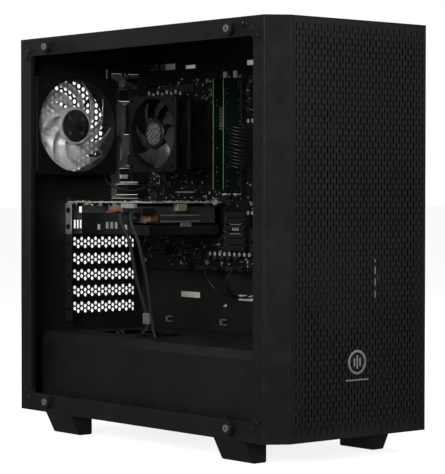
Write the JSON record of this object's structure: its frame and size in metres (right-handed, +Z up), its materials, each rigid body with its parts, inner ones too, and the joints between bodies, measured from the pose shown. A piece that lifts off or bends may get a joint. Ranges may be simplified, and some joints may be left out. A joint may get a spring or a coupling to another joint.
{
  "type": "desktop computer tower",
  "caption": "Mid-tower desktop computer with its window side open, slotted front, rear and front fans, motherboard, cooler, graphics card and shrouded power supply.",
  "frame": {"origin": "on the floor, under the middle of the case's bounding box", "axes": "+Z up, front faces -Y, open window side faces -X"},
  "size_m": [0.2336, 0.474, 0.4787],
  "materials": {
    "steel_black": "satin black powder coat",
    "steel_bare": "bare zinc-plated sheet",
    "plastic_black": "fine moulded grain",
    "front_black": "satin",
    "rubber_black": "matt",
    "post_steel": "turned",
    "screw_black": "black oxide",
    "fan_clear": "clear frosted blades",
    "fan_black": "satin",
    "board_black": "solder mask",
    "memory_green": "green circuit board",
    "latch_white": "plain",
    "socket_black": "plain",
    "port_metal": "tinned",
    "parts_mixed": "mixed small parts",
    "aluminium_raw": "extruded",
    "heatsink_black": "black anodised",
    "copper": "bare copper",
    "brass": "turned",
    "shroud_black": "semi-gloss",
    "cable_black": "woven sleeve",
    "plug_black": "plain",
    "drive_grey": "cast",
    "filter_grey": "fine mesh"
  },
  "bodies": {
    "chassis": {"bottom_pan": "steel_black", "top_panel": "steel_black", "rear_panel": "steel_black", "window_frame": "steel_black", "front_wall": "steel_black", "motherboard_tray": "steel_black", "psu_shroud": "steel_black", "corner_plates": "steel_black", "glass_posts": "post_steel", "glass_grommets": "rubber_black", "feet": "plastic_black", "slot_covers": "steel_black", "case_screws": "screw_black", "rear_fan_frame": "fan_black", "front_fan_frame": "fan_black", "usb_ports": "port_metal", "motherboard": "board_black", "board_standoffs": "brass", "cpu_cooler": "aluminium_raw", "cpu_fan_frame": "fan_black", "ram_sockets": "socket_black", "ram_modules": "memory_green", "board_sockets": "socket_black", "board_parts": "parts_mixed", "chipset_heatsink": "heatsink_black", "io_ports": "port_metal", "io_shield": "port_metal", "gpu_board": "board_black", "gpu_bracket": "port_metal", "gpu_heatsink": "aluminium_raw", "gpu_heatpipes": "copper", "gpu_shroud": "shroud_black", "psu_case": "steel_black", "psu_grille": "screw_black", "power_inlet": "socket_black", "drive_cage": "steel_black", "hard_drive": "drive_grey", "gpu_power_cables": "cable_black", "main_power_cable": "cable_black", "cpu_power_cable": "cable_black", "thin_leads": "cable_black", "cable_plugs": "plug_black"},
    "front_bezel_body": {"front_bezel": "front_black", "front_mesh": "front_black", "bezel_clips": "plastic_black"},
    "right_panel_body": {"right_panel": "steel_black", "panel_thumbscrews": "screw_black"},
    "rear_fan_rotor_body": {"rear_fan_rotor": "fan_clear"},
    "front_fan_rotor_body": {"front_fan_rotor": "fan_black"},
    "cpu_fan_rotor_body": {"cpu_fan_rotor": "fan_black"},
    "gpu_fan_rear_body": {"gpu_fan_rear": "fan_black"},
    "gpu_fan_front_body": {"gpu_fan_front": "fan_black"},
    "psu_fan_rotor_body": {"psu_fan_rotor": "fan_black"},
    "power_rocker_body": {"power_rocker": "plastic_black"},
    "top_filter_body": {"top_filter": "filter_grey"},
    "psu_filter_body": {"psu_filter": "filter_grey"},
    "power_button_body": {"power_button": "plastic_black"},
    "reset_button_body": {"reset_button": "plastic_black"},
    "ram_latch_outer_body": {"ram_latch_outer": "latch_white"},
    "ram_latch_inner_body": {"ram_latch_inner": "latch_white"}
  },
  "joints": [
    {"name": "rear_fan_spin", "type": "hinge", "parent": "chassis", "child": "rear_fan_rotor_body", "pos_m": [-0.04295, 0.215, 0.373], "axis": [0, 1, 0], "continuous": true},
    {"name": "front_fan_spin", "type": "hinge", "parent": "chassis", "child": "front_fan_rotor_body", "pos_m": [0.00375, -0.208, 0.325], "axis": [0, 1, 0], "continuous": true},
    {"name": "cpu_fan_spin", "type": "hinge", "parent": "chassis", "child": "cpu_fan_rotor_body", "pos_m": [0.008, 0.1045, 0.3615], "axis": [1, 0, 0], "continuous": true},
    {"name": "gpu_fan_rear_spin", "type": "hinge", "parent": "chassis", "child": "gpu_fan_rear_body", "pos_m": [-0.001, 0.166, 0.245], "axis": [0, 0, 1], "continuous": true},
    {"name": "gpu_fan_front_spin", "type": "hinge", "parent": "chassis", "child": "gpu_fan_front_body", "pos_m": [-0.001, 0.085, 0.245], "axis": [0, 0, 1], "continuous": true},
    {"name": "psu_fan_spin", "type": "hinge", "parent": "chassis", "child": "psu_fan_rotor_body", "pos_m": [-0.00625, 0.16, 0.04], "axis": [0, 0, 1], "continuous": true},
    {"name": "power_rocker_tip", "type": "hinge", "parent": "chassis", "child": "power_rocker_body", "pos_m": [-0.05525, 0.226, 0.089], "axis": [0, 0, 1], "range_deg": [0, 20]},
    {"name": "power_button_press", "type": "slide", "parent": "chassis", "child": "power_button_body", "axis": [0, 0, -1], "range_m": [0, 0.0015], "stiffness_N_per_m": 600, "springref_m": -0.0005},
    {"name": "reset_button_press", "type": "slide", "parent": "chassis", "child": "reset_button_body", "axis": [0, 0, -1], "range_m": [0, 0.001], "stiffness_N_per_m": 600, "springref_m": -0.0005},
    {"name": "right_panel_slide", "type": "slide", "parent": "chassis", "child": "right_panel_body", "axis": [0, 1, 0], "range_m": [0, 0.012]},
    {"name": "front_bezel_pull", "type": "slide", "parent": "chassis", "child": "front_bezel_body", "axis": [0, -1, 0], "range_m": [0, 0.03]},
    {"name": "top_filter_lift", "type": "slide", "parent": "chassis", "child": "top_filter_body", "axis": [0, 0, 1], "range_m": [0, 0.03]},
    {"name": "psu_filter_slide", "type": "slide", "parent": "chassis", "child": "psu_filter_body", "axis": [0, 1, 0], "range_m": [0, 0.14]},
    {"name": "ram_latch_outer_swing", "type": "hinge", "parent": "chassis", "child": "ram_latch_outer_body", "pos_m": [0.06575, 0.036, 0.4293], "axis": [0, 1, 0], "range_deg": [0, 30]},
    {"name": "ram_latch_inner_swing", "type": "hinge", "parent": "chassis", "child": "ram_latch_inner_body", "pos_m": [0.06575, 0.0172, 0.4293], "axis": [0, 1, 0], "range_deg": [0, 30]}
  ]
}
